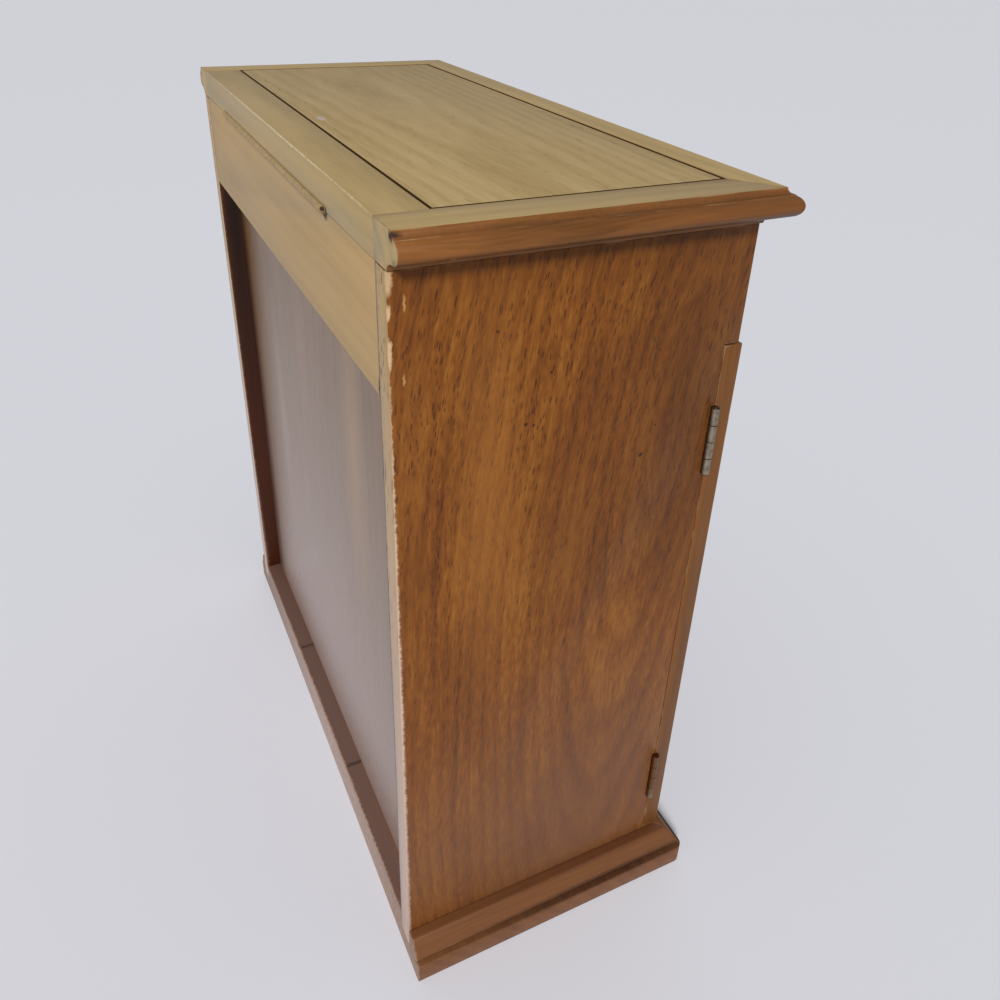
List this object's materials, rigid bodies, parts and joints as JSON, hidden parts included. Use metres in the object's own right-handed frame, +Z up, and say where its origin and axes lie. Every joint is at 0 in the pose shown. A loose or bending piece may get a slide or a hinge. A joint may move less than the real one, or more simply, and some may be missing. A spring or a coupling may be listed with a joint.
{
  "type": "tabletop chest with doors",
  "caption": "Small wooden tabletop chest: a lift lid on a long rear hinge over a shallow compartment, paired doors below, moulded lid edge and plinth.",
  "frame": {"origin": "centre of the footprint on the surface that the chest stands on", "axes": "+Z up, doors face -Y, plain back faces +Y, +X to the right seen from the front"},
  "size_m": [0.274, 0.1324, 0.304],
  "materials": {
    "oak_veneer": "open-grained oak-like veneer under satin walnut stain, vertical grain",
    "lid_veneer": "fine-grained veneer under satin lacquer that pales towards the light",
    "moulding": "solid hardwood moulding, satin walnut stain",
    "plinth": "solid hardwood plinth, darker walnut stain",
    "frame_wood": "solid hardwood frame, satin walnut stain",
    "back_wood": "stained poplar rail, satin lacquer",
    "ply": "thin plywood, gloss lacquer",
    "stringing": "dark stringing line",
    "raw_wood": "plain sanded hardwood, unstained",
    "felt": "short flocked felt, wine red",
    "nickel": "aged nickel plate, satin",
    "hinge_tan": "aged brass plate under lacquer",
    "brass": "polished turned brass, lacquered",
    "steel": "plain steel",
    "glass_mirror": "silvered glass",
    "catch_plastic": "moulded plastic, matt ivory"
  },
  "bodies": {
    "case": {"base_board": "plinth", "plinth_front": "plinth", "plinth_left": "plinth", "plinth_right": "plinth", "side_panel_left": "oak_veneer", "side_panel_right": "oak_veneer", "case_floor": "plinth", "back_panel": "ply", "back_rail": "back_wood", "front_fascia": "frame_wood", "tray_floor": "raw_wood", "bay_divider": "frame_wood", "drawer_shelves": "frame_wood", "hook_rail": "frame_wood", "necklace_hooks": "brass", "bay_lining": "felt", "tray_lining": "felt", "tray_partitions": "frame_wood", "back_staples": "steel", "drawer_front_1": "frame_wood", "drawer_front_2": "frame_wood", "drawer_front_3": "frame_wood", "drawer_front_4": "frame_wood", "drawer_box_1": "raw_wood", "drawer_box_2": "raw_wood", "drawer_box_3": "raw_wood", "drawer_box_4": "raw_wood", "drawer_linings": "felt", "drawer_knobs": "brass", "catch_body": "catch_plastic", "catch_magnets": "steel", "hinge_leaf_case": "hinge_tan", "hinge_pin_lid": "hinge_tan", "butt_leaves_case": "nickel", "butt_pins": "nickel", "case_screws": "nickel"},
    "lid": {"lid_border_left": "moulding", "lid_border_right": "moulding", "lid_border_front": "moulding", "lid_border_rear": "moulding", "lid_core": "moulding", "lid_veneer": "lid_veneer", "lid_stringing": "stringing", "hinge_leaf_lid": "hinge_tan", "lid_screws": "hinge_tan", "mirror_glass": "glass_mirror", "mirror_frame": "frame_wood"},
    "door_left": {"door_left_stiles": "frame_wood", "door_left_rails": "frame_wood", "door_left_panel": "oak_veneer", "door_left_knob": "brass", "door_left_leaves": "nickel", "door_left_fittings": "nickel"},
    "door_right": {"door_right_stiles": "frame_wood", "door_right_rails": "frame_wood", "door_right_panel": "oak_veneer", "door_right_knob": "brass", "door_right_leaves": "nickel", "door_right_fittings": "nickel"}
  },
  "joints": [
    {"name": "lid_hinge", "type": "hinge", "parent": "case", "child": "lid", "pos_m": [0, 0.065, 0.29255], "axis": [-1, 0, 0], "range_deg": [0, 100]},
    {"name": "door_left_hinge", "type": "hinge", "parent": "case", "child": "door_left", "pos_m": [-0.1278, -0.0452, 0.137], "axis": [0, 0, -1], "range_deg": [0, 175]},
    {"name": "door_right_hinge", "type": "hinge", "parent": "case", "child": "door_right", "pos_m": [0.1278, -0.0452, 0.137], "axis": [0, 0, 1], "range_deg": [0, 175]}
  ]
}
